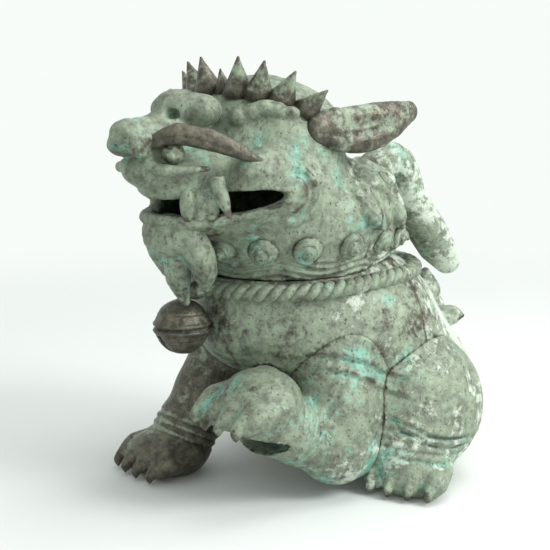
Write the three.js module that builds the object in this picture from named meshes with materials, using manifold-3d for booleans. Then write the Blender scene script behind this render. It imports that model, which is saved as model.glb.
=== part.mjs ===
// A seated guardian lion of hollow-cast bronze, its right forepaw planted and its left forepaw raised.
// Units are millimetres, +Z is up, the lion faces -Y and its left side is +X.
// Each casting is a shell with one wall thickness. Neighbouring castings meet at brazed joints,
// which are drawn as a narrow gap. Everything applied to a casting is placed by a ray that finds
// the surface it sits on, so it follows when the casting changes size.
import * as THREE from "three";
import { mergeVertices } from "three/addons/utils/BufferGeometryUtils.js";
import Module from "manifold-3d";

const wasm = await Module();
wasm.setup();

// ---- Driving sizes ---------------------------------------------------------------------------
const WALL = 3.4; // bronze wall of every hollow casting
const GAP = 0.4; // gap at a brazed joint
const HEAD_TURN = 10; // degrees that the head looks to the lion's left

const NECK_HEIGHT = 184; // height of the neck joint on the lion's axis
const NECK_SLOPE = 3; // degrees that the neck joint rises towards the back

const SKULL = [78, 66, 54]; // half width, half length and half height of the skull
const SKULL_HEIGHT = NECK_HEIGHT + 106; // height of the skull's centre
const SKULL_REACH = 24; // how far the skull's centre lies ahead of the neck axis
const MUZZLE = [86, 77, 48]; // half sizes of the broad muzzle
const MUZZLE_REACH = 42; // how far the muzzle's centre lies ahead of the neck axis
const MUZZLE_HEIGHT = SKULL_HEIGHT - 36;
const MANE = [97, 100, 60]; // half sizes of the mane
const MANE_SETBACK = 8; // how far the mane's centre lies behind the neck axis
const MANE_HEIGHT = NECK_HEIGHT + 42;
const NECK = [82, 70, 40]; // half sizes of the neck under the mane
const NAPE = [70, 56, 34]; // half sizes of the mane's fall over the nape
const NAPE_SETBACK = 58;
const NOSE = [19, 14, 14]; // half sizes of the nose's tip
const NOSE_HEIGHT = SKULL_HEIGHT + 9;
const NOSE_REACH = MUZZLE_REACH + MUZZLE[1] + 39; // distance of the nose's centre ahead of the neck axis
const BRIDGE = [25, 36, 23]; // half sizes of the nose's bridge
const BROW = [22, 20, 15]; // half sizes of the knob over each eye
const BROW_APART = 26; // distance of a brow knob from the middle of the face

const MOUTH_HEIGHT = MUZZLE_HEIGHT - 3; // middle of the mouth opening
const MOUTH_OPEN = 18; // clear height of the mouth opening
const MOUTH_BACK = MUZZLE_REACH + 2; // the mouth's corners lie this far ahead of the neck axis
const JAW_DEPTH = 20; // height of the lower jaw's band
const FACE_DEPTH = 12; // the face joins the mane this far behind the neck axis

const CHEST = [86, 102, 60];
const CHEST_SETBACK = 26;
const CHEST_HEIGHT = NECK_HEIGHT - 42;
const THROAT = [80, 66, 44];
const BACK = [94, 82, 72];
const BACK_SETBACK = CHEST_SETBACK + 40;
const BACK_HEIGHT = CHEST_HEIGHT - 18;
const RUMP = [98, 84, 88];
const RUMP_SETBACK = BACK_SETBACK + 42;
const RUMP_HEIGHT = 60;
const BODY_SEAM = BACK_SETBACK + 18; // the two body castings meet this far behind the neck axis

// Each leg is a chain of swellings from shoulder or hip down to paw. X and Y are measured from
// the neck axis. Of the forelegs, the right one is planted and the left one is raised.
const SHOULDER_HEIGHT = NECK_HEIGHT - 74;
const TOE_RADIUS = 12.5;
const PLANTED_LEG = [
  { at: [-56, -6, SHOULDER_HEIGHT - 2], size: [34, 44, 50] }, // shoulder
  { at: [-56, -44, 64], size: [27, 27, 42], turn: [-18, 0, 0] }, // forearm
  { at: [-58, -62, 34], size: [29, 28, 28] }, // ankle
  { at: [-60, -76, 17], size: [36, 34, 22] }, // paw
];
const PLANTED_TOES = [-62, -96, TOE_RADIUS - 0.5];
const RAISED_LEG = [
  { at: [58, 22, SHOULDER_HEIGHT + 2], size: [34, 46, 48] }, // shoulder
  { at: [70, 12, 66], size: [32, 36, 48] }, // upper arm
  { at: [74, 4, 37], size: [28, 30, 27] }, // elbow
  { at: [70, -32, 58], size: [26, 40, 26], turn: [-30, 0, 0] }, // forearm
  { at: [62, -62, 86], size: [36, 33, 28] }, // paw
];
const RAISED_TOES = [58, -86, 80];
const PALM = { at: [64, -44, 48], size: [19, 24, 15] }; // the hollow under the raised paw
const HIND_LEG = [
  { at: [80, 92, 64], size: [46, 58, 60] }, // haunch
  { at: [90, 70, 34], size: [36, 36, 34] }, // knee
  { at: [100, 66, 14], size: [33, 32, 20] }, // paw
];
const HIND_TOES = [110, 48, TOE_RADIUS - 0.5];
const HIND_TURN = 25; // degrees that a hind paw looks outward

const BELL_RADIUS = 22;
const BELL_DROP = 42; // the bell's centre hangs this far below the neck joint
const KNOT = [11, 9, 8]; // half sizes of the ribbon's knot over the bell
const ROPE_RADIUS = 6.5;
const ROPE_DROP = 9; // the rope collar lies this far below the neck joint
const CURL_HEIGHT = 30; // height of a pointed crown curl
const CURL_RADIUS = 11.5;
const BOSS_RADIUS = 12; // radius of a snail curl on the mane
const EAR_LENGTH = 82;
const EAR_WIDTH = 20; // half width of an ear
const LOCK_LENGTH = 94; // drop of the long lock behind each ear, from its arch to its tip
const LOCK_SWEEP = 80; // how far the lock sweeps back from its root
const LOCK_RADIUS = 15;
const EYE_RADIUS = 10;
const BEARD = [24, 20, 24]; // half sizes of the beard
const TAIL_RADIUS = 13;
const TAIL_REACH = 14; // how far the tail's tips stand clear of the back
const TAIL_SPREAD = 34; // distance of a side tip from the middle of the tail

const ROUND = 2; // fineness of a large ball, and of a small one
const FINE = 1;
const SIDES = 10; // sides of a limb's section and of a curl

// ---- Materials -------------------------------------------------------------------------------
const finish = (color, roughness, metalness) =>
  new THREE.MeshStandardMaterial({ color, roughness, metalness });
const PATINA = finish(0x8fa496, 0.7, 0.35);
const DARK_BRONZE = finish(0x5c564a, 0.5, 0.6);
const PALE_PATINA = finish(0xaab5a4, 0.75, 0.3);

// ---- Shapes ----------------------------------------------------------------------------------
// Turns a closed geometry into a solid that can be joined and cut.
function solid(geometry) {
  const bare = geometry.clone();
  bare.deleteAttribute("normal");
  bare.deleteAttribute("uv");
  const merged = mergeVertices(bare, 1e-4);
  return new wasm.Manifold(
    new wasm.Mesh({
      numProp: 3,
      vertProperties: merged.attributes.position.array,
      triVerts: new Uint32Array(merged.index.array),
    }),
  );
}

// An egg is a ball with three half sizes, turned by degrees about X, Y and Z.
const egg = (at, size, turn = [0, 0, 0], detail = ROUND) => ({ at, size, turn, detail });

function eggMatrix({ at, size, turn }, grow) {
  const angles = turn.map(THREE.MathUtils.degToRad);
  return new THREE.Matrix4().compose(
    new THREE.Vector3(...at),
    new THREE.Quaternion().setFromEuler(new THREE.Euler(...angles)),
    new THREE.Vector3(...size.map((half) => half + grow)),
  );
}

function eggSolid(spec, grow) {
  const ball = new THREE.IcosahedronGeometry(1, spec.detail);
  return solid(ball.applyMatrix4(eggMatrix(spec, grow)));
}

const mirrored = (spec) => ({
  ...spec,
  at: [-spec.at[0], spec.at[1], spec.at[2]],
  turn: [spec.turn[0], -spec.turn[1], -spec.turn[2]],
});
const pair = (spec) => [spec, mirrored(spec)];
const join = (solids) => solids.reduce((whole, next) => whole.add(next));

// A form is the outer shape of a casting: its eggs grown by the same amount.
const form = (eggs, grow = 0) => join(eggs.map((spec) => eggSolid(spec, grow)));

// A core is the hollow of a casting: its eggs shrunk by the wall, and less finely divided.
const coarser = (spec) => ({ ...spec, detail: Math.max(FINE, spec.detail - 1) });
const core = (eggs) => form(eggs.map(coarser), -WALL);

// A block between two corners.
function block(low, high) {
  const size = high.map((top, i) => top - low[i]);
  const middle = high.map((top, i) => (top + low[i]) / 2);
  return solid(new THREE.BoxGeometry(...size).translate(...middle));
}

// A limb is a cylinder bent along a smooth line, with a half width at each point of it and
// rounded ends. The section's thickness is its width times flat.
function limb(points, widths, { flat = 1, sides = SIDES, steps = 10, grow = 0, up = [0, 0, 1] } = {}) {
  const line = new THREE.CatmullRomCurve3(points.map((p) => new THREE.Vector3(...p)));
  const tube = new THREE.CylinderGeometry(1, 1, 1, sides, steps);
  const position = tube.attributes.position;
  const upward = new THREE.Vector3(...up);
  const vertex = new THREE.Vector3();
  for (let i = 0; i < position.count; i++) {
    vertex.fromBufferAttribute(position, i);
    const t = Math.min(1, Math.max(0, vertex.y + 0.5));
    const tangent = line.getTangent(t);
    const across = new THREE.Vector3().crossVectors(tangent, upward).normalize();
    const thick = new THREE.Vector3().crossVectors(across, tangent);
    const place = t * (widths.length - 1);
    const step = Math.min(widths.length - 2, Math.floor(place));
    const half = THREE.MathUtils.lerp(widths[step], widths[step + 1], place - step);
    const end = Math.max(0, Math.abs(2 * t - 1) * steps - (steps - 2)) / 2;
    const round = Math.sqrt(Math.max(0.12, 1 - end * end));
    const centre = line.getPoint(t).addScaledVector(tangent, Math.sign(t - 0.5) * end * grow);
    centre.addScaledVector(thick, vertex.x * (half * round + grow));
    centre.addScaledVector(across, vertex.z * (half * flat * round + grow));
    position.setXYZ(i, centre.x, centre.y, centre.z);
  }
  const made = solid(tube);
  if (made.volume() > 0) return made;
  const flipped = tube.toNonIndexed();
  const array = flipped.attributes.position.array;
  for (let i = 0; i < array.length; i += 9) {
    for (let k = 0; k < 3; k++) {
      [array[i + 3 + k], array[i + 6 + k]] = [array[i + 6 + k], array[i + 3 + k]];
    }
  }
  return solid(flipped);
}

// Where a ray from inside a form leaves it, and the direction that the surface faces there.
function surfacePoint(eggs, from, towards) {
  let best = null;
  for (const spec of eggs) {
    const inverse = eggMatrix(spec, 0).invert();
    const start = new THREE.Vector3(...from).applyMatrix4(inverse);
    const end = new THREE.Vector3(...from).add(new THREE.Vector3(...towards)).applyMatrix4(inverse);
    const along = end.sub(start);
    const a = along.lengthSq();
    const b = start.dot(along);
    const c = start.lengthSq() - 1;
    if (b * b < a * c) continue;
    const t = (-b + Math.sqrt(b * b - a * c)) / a;
    if (t > 0 && (!best || t > best.t)) {
      const local = start.clone().addScaledVector(along, t);
      best = { t, normal: local.applyMatrix3(new THREE.Matrix3().setFromMatrix4(inverse.transpose())) };
    }
  }
  const point = new THREE.Vector3(...from).addScaledVector(new THREE.Vector3(...towards), best.t);
  return { point, normal: best.normal.normalize() };
}

const FAR = 400; // reach of a cutting block

// ---- Forms of the head, in the head's own frame, whose Z axis is the neck axis ----------------
const skull = egg([0, -SKULL_REACH, SKULL_HEIGHT], SKULL);
const muzzle = egg([0, -MUZZLE_REACH, MUZZLE_HEIGHT], MUZZLE);
const mane = egg([0, MANE_SETBACK, MANE_HEIGHT], MANE);
const headEggs = [
  skull,
  muzzle,
  mane,
  egg([0, 2, NECK_HEIGHT + 8], NECK),
  egg([0, NAPE_SETBACK, NECK_HEIGHT + 20], NAPE),
  egg([0, -NOSE_REACH + BRIDGE[1] + 4, NOSE_HEIGHT], BRIDGE),
  egg([0, -NOSE_REACH, NOSE_HEIGHT], NOSE, [0, 0, 0], FINE),
  ...pair(egg([BROW_APART, -SKULL[1] - 34, SKULL_HEIGHT + 30], BROW, [0, 0, 25], FINE)),
];

// ---- Forms of the body, in the lion's frame --------------------------------------------------
const torsoEggs = [
  egg([0, CHEST_SETBACK, CHEST_HEIGHT], CHEST),
  egg([0, 0, NECK_HEIGHT], THROAT),
  egg([0, BACK_SETBACK, BACK_HEIGHT], BACK),
  egg([0, RUMP_SETBACK, RUMP_HEIGHT], RUMP),
];

// Everything below the neck joint, raised by a gap and turned back by the head's own turn.
function belowNeck(raise, turn) {
  const box = new THREE.BoxGeometry(2 * FAR, 2 * FAR, FAR);
  box.translate(0, 0, -FAR / 2);
  box.rotateX(THREE.MathUtils.degToRad(NECK_SLOPE));
  box.rotateZ(THREE.MathUtils.degToRad(-turn));
  return solid(box.translate(0, 0, NECK_HEIGHT + raise));
}

// ---- Scene graph -----------------------------------------------------------------------------
const lion = new THREE.Group();
const body = new THREE.Group();
const head = new THREE.Group();
head.rotation.z = THREE.MathUtils.degToRad(HEAD_TURN);
lion.add(body, head);

function piece(group, name, shape, material) {
  const parts = shape.decompose().sort((a, b) => b.volume() - a.volume());
  const { numProp, numVert, vertProperties, triVerts } = parts[0].getMesh();
  const position = new Float32Array(numVert * 3);
  for (let i = 0; i < numVert; i++) {
    position.set(vertProperties.subarray(i * numProp, i * numProp + 3), i * 3);
  }
  const geometry = new THREE.BufferGeometry();
  geometry.setAttribute("position", new THREE.BufferAttribute(position, 3));
  geometry.setIndex(new THREE.BufferAttribute(new Uint32Array(triVerts), 1));
  geometry.computeVertexNormals();
  const mesh = new THREE.Mesh(geometry, material);
  mesh.name = name;
  group.add(mesh);
  return mesh;
}

// ---- Head castings ---------------------------------------------------------------------------
const headHull = form(headEggs);
const headHullGrown = form(headEggs, GAP);
const headShell = headHull.subtract(core(headEggs)).subtract(belowNeck(GAP, HEAD_TURN));

const lipTop = MOUTH_HEIGHT + MOUTH_OPEN / 2;
const lipBottom = MOUTH_HEIGHT - MOUTH_OPEN / 2;
const jawBottom = lipBottom - JAW_DEPTH;
const facePart = (grow) => block([-FAR, -FAR, jawBottom - grow], [FAR, FACE_DEPTH + grow, FAR * 2]);
const frontPart = (low, high) => block([-FAR, -FAR, low], [FAR, -MOUTH_BACK, high]);

const faceShell = headShell.intersect(facePart(0));
piece(head, "head_shell", faceShell.subtract(frontPart(jawBottom - FAR, lipTop)), PATINA);
const behindJaw = block([-FAR, -MOUTH_BACK - GAP, 0], [FAR, FAR, FAR]);
const jawPart = frontPart(jawBottom, lipBottom).subtract(behindJaw);
piece(head, "lower_jaw", faceShell.intersect(jawPart), PATINA);
piece(head, "mane_shell", headShell.subtract(facePart(GAP)), PATINA);

const aboveJoint = block([-FAR, -FAR, -FAR], [FAR, FAR, 2 * FAR]).subtract(belowNeck(GAP, HEAD_TURN));

// ---- Applied pieces of the head --------------------------------------------------------------
const headCentre = [0, -SKULL_REACH - 3, SKULL_HEIGHT - 10];
const maneCentre = [0, MANE_SETBACK, MANE_HEIGHT];

// A direction from the neck axis: degrees round from the front towards the lion's left, and up.
function heading(round, rise) {
  const a = THREE.MathUtils.degToRad(round);
  const e = THREE.MathUtils.degToRad(rise);
  return [Math.sin(a) * Math.cos(e), -Math.cos(a) * Math.cos(e), Math.sin(e)];
}

// A turned profile set on a surface: its axis follows the given direction.
function turned(profile, point, direction, sides = SIDES) {
  const lathe = new THREE.LatheGeometry(profile.map((p) => new THREE.Vector2(...p)), sides);
  const turn = new THREE.Quaternion().setFromUnitVectors(new THREE.Vector3(0, 1, 0), direction);
  lathe.applyQuaternion(turn).translate(point.x, point.y, point.z);
  return solid(lathe);
}

const SINK = 8; // an applied piece starts this far inside its host, and the host's form is cut from it
const crownCurl = [
  [0, -SINK], [CURL_RADIUS, -SINK], [CURL_RADIUS, 0], [CURL_RADIUS * 0.62, CURL_HEIGHT * 0.4],
  [CURL_RADIUS * 0.24, CURL_HEIGHT * 0.92], [0, CURL_HEIGHT],
];
// The curls stand in a row across the brow, and the row falls away towards each ear.
const crownPlaces = [
  { round: 25, rise: 51, lean: 14 },
  { round: 48, rise: 46, lean: 24 },
  { round: 67, rise: 39, lean: 36 },
  { round: 83, rise: 29, lean: 50 },
];

// Curls give way to the ones placed before them. A profile wider by a gap marks what is taken.
const taken = [];
const wider = (profile) => profile.map(([r, h]) => [r > 0 ? r + GAP : 0, h > 0 ? h + GAP : h]);

function placeCurl(name, profile, point, direction, material) {
  let shape = turned(profile, point, direction).subtract(headHullGrown).intersect(aboveJoint);
  if (taken.length) shape = shape.subtract(join(taken));
  taken.push(turned(wider(profile), point, direction));
  piece(head, name, shape, material);
}

const frontCurl = surfacePoint(headEggs, headCentre, heading(0, 55));
const small = crownCurl.map(([r, h]) => [r * 0.8, h * 0.7]);
const frontAim = new THREE.Vector3(...heading(0, 76));
placeCurl("crown_curl_front", small, frontCurl.point, frontAim, DARK_BRONZE);

crownPlaces.forEach(({ round, rise, lean }, i) => {
  for (const side of [1, -1]) {
    const { point } = surfacePoint(headEggs, headCentre, heading(side * round, rise));
    const direction = new THREE.Vector3(...heading(side * (round + 20), 90 - lean));
    const name = `crown_curl_${side > 0 ? "left" : "right"}_${i + 1}`;
    placeCurl(name, crownCurl, point, direction, DARK_BRONZE);
  }
});

const snail = (radius) => [
  [0, -SINK], [radius, -SINK], [radius, 0], [radius * 0.85, radius * 0.45],
  [radius * 0.45, radius * 0.78], [0, radius * 0.88],
];
const manePlaces = [
  { round: 11, rise: -12, radius: BOSS_RADIUS },
  { round: 33, rise: -12, radius: BOSS_RADIUS },
  { round: 55, rise: -11, radius: BOSS_RADIUS },
  { round: 79, rise: -10, radius: BOSS_RADIUS * 0.9 },
  { round: 104, rise: -10, radius: BOSS_RADIUS * 0.9 },
  { round: 129, rise: -10, radius: BOSS_RADIUS },
  { round: 156, rise: -10, radius: BOSS_RADIUS },
  { round: 112, rise: 20, radius: BOSS_RADIUS },
  { round: 143, rise: 22, radius: BOSS_RADIUS },
];
manePlaces.forEach(({ round, rise, radius }, i) => {
  for (const side of [1, -1]) {
    const { point, normal } = surfacePoint(headEggs, maneCentre, heading(side * round, rise));
    const name = `mane_curl_${side > 0 ? "left" : "right"}_${i + 1}`;
    placeCurl(name, snail(radius), point, normal, PATINA);
  }
});

for (const side of [1, -1]) {
  const hand = side > 0 ? "left" : "right";

  const eye = surfacePoint(headEggs, [0, -MUZZLE_REACH, SKULL_HEIGHT - 5], heading(side * 15, 1));
  const eyeSize = [EYE_RADIUS, EYE_RADIUS * 0.8, EYE_RADIUS];
  const eyeball = egg(eye.point.toArray(), eyeSize, [0, 0, side * 25], FINE);
  piece(head, `eye_${hand}`, eggSolid(eyeball, 0).subtract(headHullGrown), PALE_PATINA);

  const browStart = surfacePoint(headEggs, headCentre, heading(side * 8, 12)).point;
  const browMiddle = surfacePoint(headEggs, headCentre, heading(side * 22, 6)).point;
  const browEnd = surfacePoint(headEggs, headCentre, heading(side * 48, -4)).point;
  const brow = [browStart, browMiddle, browEnd].map((p, i) => [p.x * (1 + 0.03 * i), p.y, p.z]);
  const flame = limb(brow, [7, 9, 7, 2.5], { flat: 0.7, sides: 8 });
  const flameOff = flame.subtract(headHullGrown).subtract(eggSolid(eyeball, GAP));
  piece(head, `brow_flame_${hand}`, flameOff, DARK_BRONZE);

  const fangAt = surfacePoint([muzzle], [0, -MUZZLE_REACH, MOUTH_HEIGHT], heading(side * 30, 0)).point;
  const inset = 1 - WALL / 2 / MUZZLE[1];
  const fang = new THREE.CylinderGeometry(9, 6, MOUTH_OPEN - 2 * GAP, 8).rotateX(Math.PI / 2);
  fang.translate(fangAt.x * inset, fangAt.y * inset, MOUTH_HEIGHT);
  piece(head, `fang_${hand}`, solid(fang), PATINA);

  const earRoot = surfacePoint(headEggs, headCentre, heading(side * 92, 15));
  const earAim = new THREE.Vector3(side * 0.24, 0.95, 0.1).normalize();
  const earAt = (share) => earRoot.point.clone().addScaledVector(earAim, share * EAR_LENGTH).toArray();
  const ear = limb(
    [earAt(-0.15), earAt(0.3), earAt(0.7), earAt(1)],
    [EAR_WIDTH * 0.7, EAR_WIDTH, EAR_WIDTH * 0.8, EAR_WIDTH * 0.4],
    { flat: 0.55, up: [0, 0, 1] },
  );
  piece(head, `ear_${hand}`, ear.subtract(headHullGrown).subtract(join(taken)), DARK_BRONZE);

  const lockRoot = surfacePoint(headEggs, maneCentre, heading(side * 146, 26)).point;
  const lockLine = [
    [0, -12, -10], [side * 10, 8, 2], [side * 17, LOCK_SWEEP * 0.35, -LOCK_LENGTH * 0.2],
    [side * 20, LOCK_SWEEP * 0.6, -LOCK_LENGTH * 0.52], [side * 23, LOCK_SWEEP, 10 - LOCK_LENGTH],
  ].map(([x, y, z]) => [lockRoot.x + x, lockRoot.y + y, lockRoot.z + z]);
  const lock = limb(
    lockLine,
    [1, 1, 0.95, 1.12, 1].map((share) => share * LOCK_RADIUS),
    { steps: 14, up: [side, 0.4, 0] },
  );
  piece(head, `mane_lock_${hand}`, lock.subtract(headHullGrown).subtract(join([...taken, ear])), PALE_PATINA);
}

const chin = surfacePoint(headEggs, [0, -MUZZLE_REACH, lipBottom - 4], heading(0, -8)).point;
const beard = egg([0, chin.y + 2, jawBottom - 2], BEARD, [0, 0, 0], FINE);
piece(head, "beard", eggSolid(beard, 0).subtract(headHullGrown).subtract(join(taken)), PATINA);

// ---- Body castings ---------------------------------------------------------------------------
const whole = block([-FAR, -FAR, 0], [FAR, FAR, 2 * FAR]);
const neckCut = whole.intersect(belowNeck(0, 0));
const torsoHullGrown = form(torsoEggs, GAP);

// A limb casting: closed at its sole, open where it meets the body, with solid toes.
function casting(eggs, toes, opening) {
  const hollow = core(eggs).intersect(block([-FAR, -FAR, WALL], [FAR, FAR, 2 * FAR]));
  let shell = form([...eggs, ...toes]).subtract(hollow).subtract(torsoHullGrown);
  if (opening) shell = shell.subtract(opening);
  return shell.intersect(neckCut);
}

// Four toes side by side across a paw, which looks in the given heading.
function toesOf([x, y, z], round, spread) {
  const ahead = new THREE.Vector3(...heading(round, 0));
  const across = new THREE.Vector3(-ahead.y, ahead.x, 0);
  return [-1.5, -0.5, 0.5, 1.5].map((place) => {
    const at = new THREE.Vector3(x, y, z).addScaledVector(across, place * spread);
    at.addScaledVector(ahead, -Math.abs(place) * 3);
    return egg(at.toArray(), [TOE_RADIUS * 0.86, TOE_RADIUS * 1.3, TOE_RADIUS], [0, 0, round], FINE);
  });
}

const chain = (leg) => leg.map(({ at, size, turn }) => egg(at, size, turn));
const plantedEggs = chain(PLANTED_LEG);
const plantedToes = toesOf(PLANTED_TOES, 0, TOE_RADIUS * 1.5);
const raisedEggs = chain(RAISED_LEG);
const raisedToes = toesOf(RAISED_TOES, 0, TOE_RADIUS * 1.5);
const palm = eggSolid(egg(PALM.at, PALM.size), 0);
const hindEggs = chain(HIND_LEG);
const hindToes = toesOf(HIND_TOES, HIND_TURN, TOE_RADIUS * 1.35);

piece(body, "foreleg_right", casting(plantedEggs, plantedToes), DARK_BRONZE);
piece(body, "foreleg_left", casting(raisedEggs, raisedToes, palm), PATINA);

// A hind leg gives way to the foreleg in front of it.
const hindLeft = casting(hindEggs, hindToes);
const hindRight = casting(hindEggs.map(mirrored), hindToes.map(mirrored));
const raisedGrown = form([...raisedEggs, ...raisedToes], GAP);
const plantedGrown = form([...plantedEggs, ...plantedToes], GAP);
piece(body, "hind_leg_left", hindLeft.subtract(raisedGrown), PALE_PATINA);
piece(body, "hind_leg_right", hindRight.subtract(plantedGrown), PALE_PATINA);

const torsoShell = form(torsoEggs).subtract(core(torsoEggs)).intersect(neckCut);
const rearPart = (grow) => block([-FAR, BODY_SEAM - grow, -FAR], [FAR, FAR, FAR]);
piece(body, "chest_shell", torsoShell.subtract(rearPart(GAP)), PATINA);
piece(body, "rump_shell", torsoShell.intersect(rearPart(0)), PALE_PATINA);

// The rope collar lies on the neck, level with the neck joint's slope.
const ropeAt = (angle) => {
  const rise = Math.sin(angle) * Math.tan(THREE.MathUtils.degToRad(NECK_SLOPE));
  const from = [0, 6, NECK_HEIGHT - ROPE_DROP];
  return surfacePoint(torsoEggs, from, [Math.cos(angle), Math.sin(angle), rise]);
};
const LOOP = 10; // the loop is made this large round, and then laid on the neck
const torus = new THREE.TorusGeometry(LOOP, 1, 8, 28);
const ropeVertex = torus.attributes.position;
for (let i = 0; i < ropeVertex.count; i++) {
  const [x, y, z] = [ropeVertex.getX(i), ropeVertex.getY(i), ropeVertex.getZ(i)];
  const { point } = ropeAt(Math.atan2(y, x));
  const out = Math.hypot(x, y) - LOOP;
  const away = new THREE.Vector3(x, y, 0).normalize();
  point.addScaledVector(away, ROPE_RADIUS * (0.5 + out));
  ropeVertex.setXYZ(i, point.x, point.y, point.z + ROPE_RADIUS * z);
}
const limbsGrown = form([...plantedEggs, ...raisedEggs], GAP);

const bellHeight = NECK_HEIGHT - BELL_DROP;
const bellFace = surfacePoint(torsoEggs, [0, 6, bellHeight], heading(0, 0)).point;
const bellAt = new THREE.Vector3(0, bellFace.y - BELL_RADIUS * 0.95, bellHeight);
const bellProfile = [
  [0, -1], [0.7, -0.72], [0.95, -0.2], [1.1, -0.16], [1.1, 0.16], [0.95, 0.2], [0.7, 0.72], [0, 1],
].map(([r, h]) => [r * BELL_RADIUS, h * BELL_RADIUS]);
const upward = new THREE.Vector3(0, 0, 1);
const bell = turned(bellProfile, bellAt, upward, 2 * SIDES);
piece(body, "bell", bell.subtract(torsoHullGrown).subtract(limbsGrown), DARK_BRONZE);

const knotAt = [0, bellAt.y + BELL_RADIUS * 0.35, bellAt.z + BELL_RADIUS + KNOT[2] - 3];
const knotEgg = egg(knotAt, KNOT, [0, 0, 0], FINE);
const growth = 1 + GAP / BELL_RADIUS;
const bellGrown = turned(bellProfile.map(([r, h]) => [r * growth, h * growth]), bellAt, upward, 2 * SIDES);
const knot = eggSolid(knotEgg, 0).subtract(torsoHullGrown).subtract(bellGrown).intersect(neckCut);
piece(body, "bell_knot", knot, DARK_BRONZE);
const rope = solid(torus).subtract(torsoHullGrown).subtract(limbsGrown).subtract(eggSolid(knotEgg, GAP));
piece(body, "collar_rope", rope.subtract(bellGrown).intersect(neckCut), PATINA);

const tailRoot = surfacePoint(torsoEggs, [0, BACK_SETBACK, BACK_HEIGHT], heading(180, 0)).point;
function tailTip(x, reach, rise, radius) {
  const line = [
    [0, tailRoot.y - TAIL_RADIUS, tailRoot.z],
    [x / 2, tailRoot.y + reach / 3, tailRoot.z + rise / 2],
    [x, tailRoot.y + reach, tailRoot.z + rise],
  ];
  return limb(line, [radius, radius, radius * 0.3], { steps: 8, up: [1, 0, 0] });
}
const LOWER_TUFT = 0.85; // size of the lower pair of tufts beside the upper pair
const tail = join([
  tailTip(0, 0, TAIL_SPREAD, TAIL_RADIUS),
  ...[1, -1].flatMap((side) => [
    tailTip(side * TAIL_SPREAD, TAIL_REACH, 0, TAIL_RADIUS),
    tailTip(side * TAIL_SPREAD * LOWER_TUFT, TAIL_REACH / 2, -TAIL_RADIUS * 1.7, TAIL_RADIUS * LOWER_TUFT),
  ]),
]);
piece(body, "tail", tail.subtract(torsoHullGrown), PALE_PATINA);

// The origin is the middle of the ground under the whole lion.
lion.updateMatrixWorld(true);
const box = new THREE.Box3().setFromObject(lion, true);
const middle = box.getCenter(new THREE.Vector3());
lion.position.set(-middle.x, -middle.y, -box.min.z);

export default lion;
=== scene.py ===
import math
import bmesh
import bpy
import numpy as np
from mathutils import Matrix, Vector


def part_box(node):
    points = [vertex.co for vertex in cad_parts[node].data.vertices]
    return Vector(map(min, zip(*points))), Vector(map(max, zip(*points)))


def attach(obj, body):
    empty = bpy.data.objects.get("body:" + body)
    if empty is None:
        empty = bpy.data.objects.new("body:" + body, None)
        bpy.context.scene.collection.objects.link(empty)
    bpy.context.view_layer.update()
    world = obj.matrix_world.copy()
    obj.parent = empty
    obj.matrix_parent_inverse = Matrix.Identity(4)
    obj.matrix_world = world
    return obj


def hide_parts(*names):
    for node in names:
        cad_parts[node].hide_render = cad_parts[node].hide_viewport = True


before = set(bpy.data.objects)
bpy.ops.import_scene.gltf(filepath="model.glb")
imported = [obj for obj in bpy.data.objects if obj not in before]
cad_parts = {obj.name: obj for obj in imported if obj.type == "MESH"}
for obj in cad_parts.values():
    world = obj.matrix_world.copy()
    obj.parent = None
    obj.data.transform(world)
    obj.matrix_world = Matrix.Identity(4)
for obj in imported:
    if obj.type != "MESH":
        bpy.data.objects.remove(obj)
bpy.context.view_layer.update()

import openvdb
from mathutils import Euler, Matrix, Vector

# ---- Camera, floor and light -----------------------------------------------------------------
# The statue stands on a pale table in a light room. A long lens looks at its left front from a
# little above. Three soft lights and the pale walls take the hardness off the shadows.
scene = bpy.context.scene
VIEW_ROUND, VIEW_RISE, VIEW_DISTANCE = 55, 9.5, 1.0
round_angle, rise_angle = math.radians(VIEW_ROUND), math.radians(VIEW_RISE)
view_from = Vector((
    math.sin(round_angle) * math.cos(rise_angle),
    -math.cos(round_angle) * math.cos(rise_angle),
    math.sin(rise_angle),
))
looked_at = Vector((0, -0.0154, 0.175))
LENS_LENGTH = 77
lens = bpy.data.cameras.new("camera")
lens.lens = LENS_LENGTH
camera = bpy.data.objects.new("camera", lens)
camera.location = looked_at + view_from * VIEW_DISTANCE
camera.rotation_euler = (-view_from).to_track_quat("-Z", "Y").to_euler()
scene.collection.objects.link(camera)
scene.camera = camera


LIT_HEIGHT = 0.18  # the lights aim at the statue's middle


def soft_light(name, place, size, watts):
    data = bpy.data.lights.new(name, "AREA")
    data.size = size
    data.energy = watts
    lamp = bpy.data.objects.new(name, data)
    lamp.location = place
    aim = Vector((0, 0, LIT_HEIGHT)) - Vector(place)
    lamp.rotation_euler = aim.to_track_quat("-Z", "Y").to_euler()
    scene.collection.objects.link(lamp)


soft_light("window", (1.3, 0.7, 1.1), 0.7, 30)
soft_light("ceiling", (0.3, 0.5, 1.9), 1.0, 15)
soft_light("front_fill", (1.4, -1.0, 0.8), 1.2, 3)

WALL_COLOUR = (0.94, 0.985, 0.945, 1)
WALL_GLOW = 0.99
room = bpy.data.worlds.new("room")
room.use_nodes = True
room.node_tree.nodes["Background"].inputs["Color"].default_value = WALL_COLOUR
room.node_tree.nodes["Background"].inputs["Strength"].default_value = WALL_GLOW
scene.world = room
scene.view_settings.view_transform = "Standard"


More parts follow.
